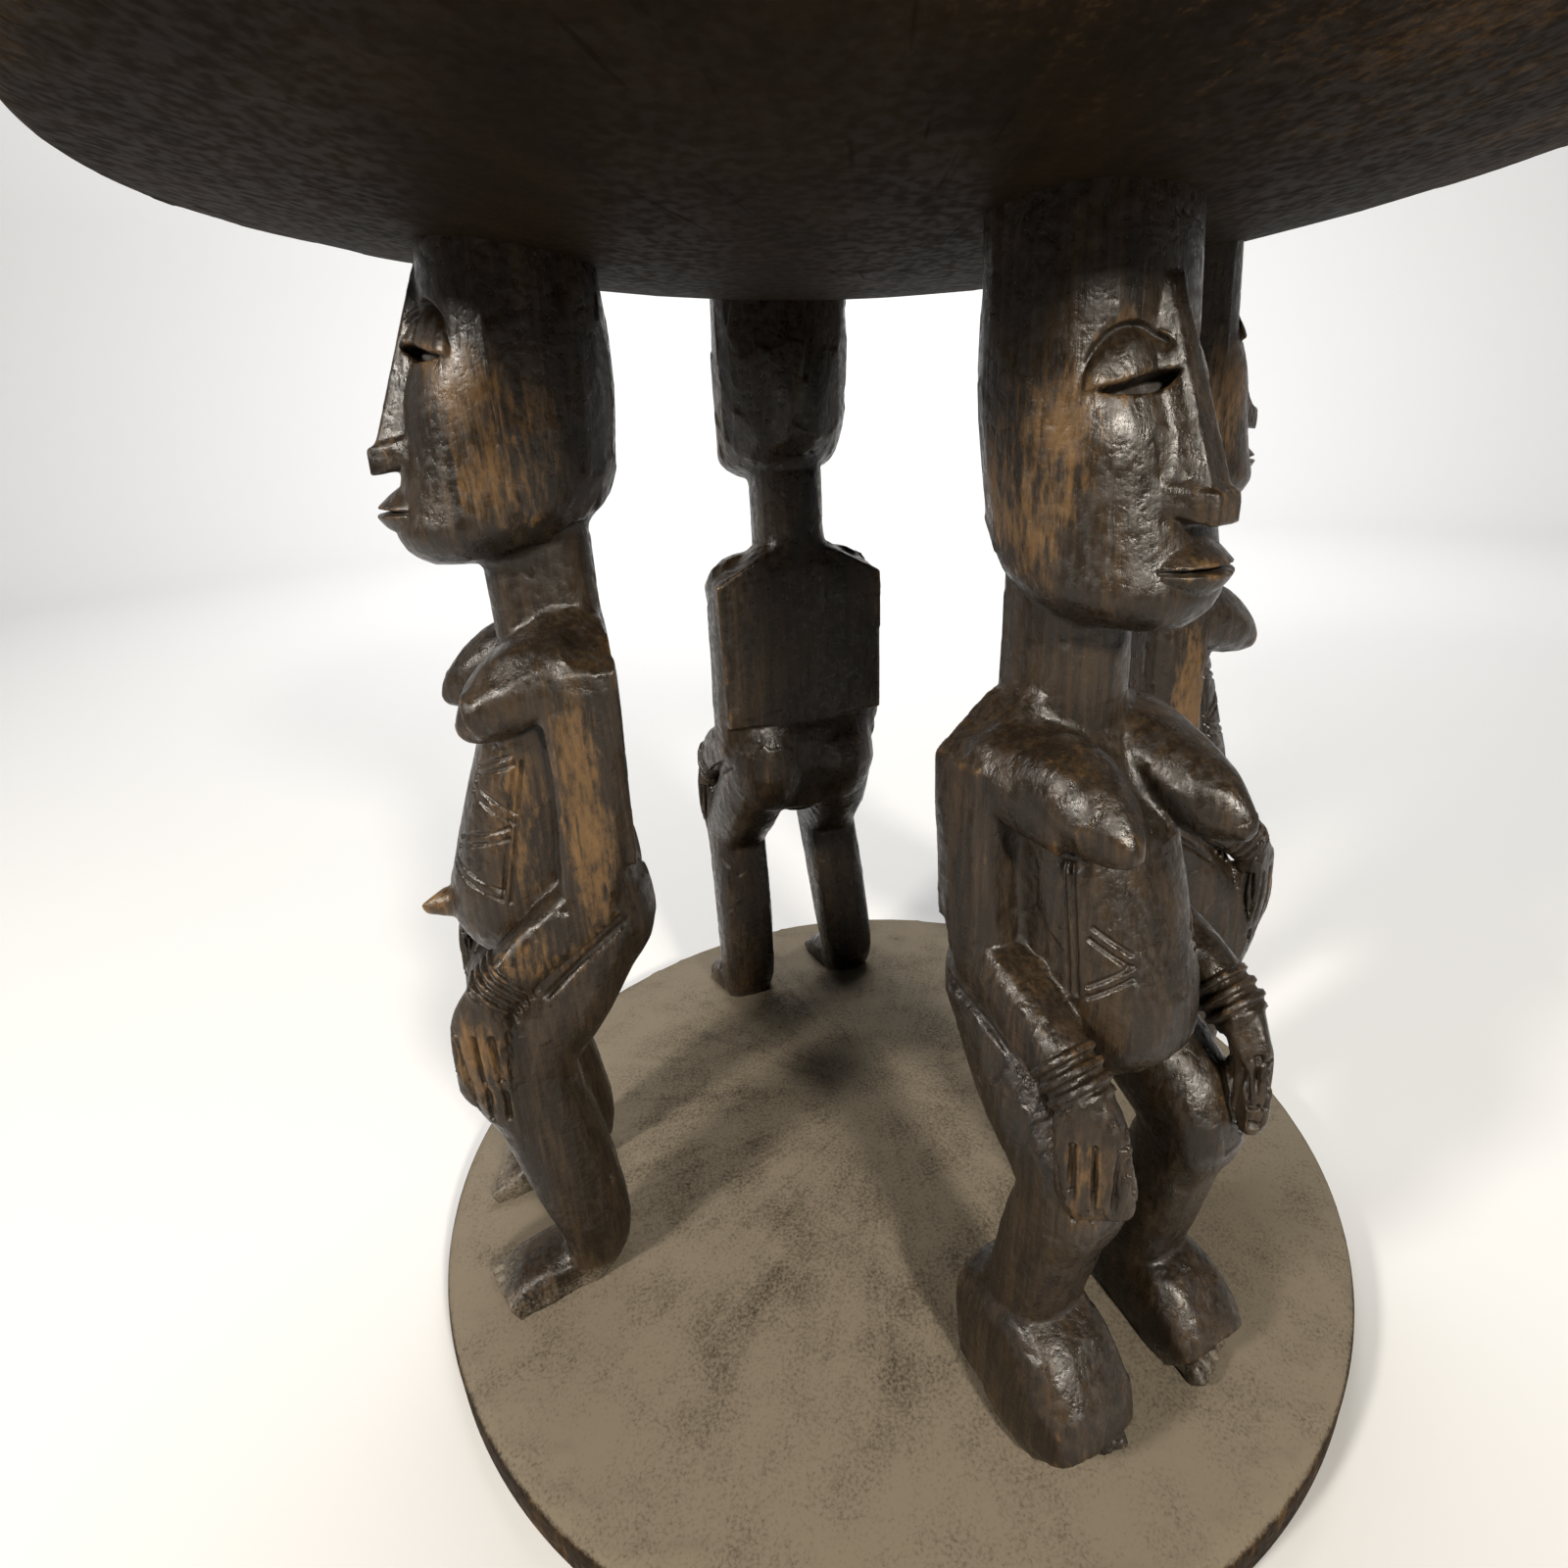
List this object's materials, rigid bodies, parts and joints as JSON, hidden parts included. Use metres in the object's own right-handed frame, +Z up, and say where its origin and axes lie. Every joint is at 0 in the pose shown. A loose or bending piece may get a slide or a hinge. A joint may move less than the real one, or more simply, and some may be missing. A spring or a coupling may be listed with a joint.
{
  "type": "side table",
  "caption": "Round side table carved from one block of dark wood: a domed top carried by a ring of standing caryatid figures with bent knees on a round base.",
  "frame": {"origin": "centre of the base's underside, on the axis of the round base and top", "axes": "+Z up along the axis of the table; the camera of the picture looks along +Y, with +X to its right"},
  "size_m": [0.6, 0.6, 0.606],
  "materials": {
    "carved_wood": "hand-adzed hardwood with a dark satin patina, worn orange-brown on edges and dusty on the base"
  },
  "bodies": {
    "root": {"carved_table": "carved_wood"}
  },
  "joints": []
}
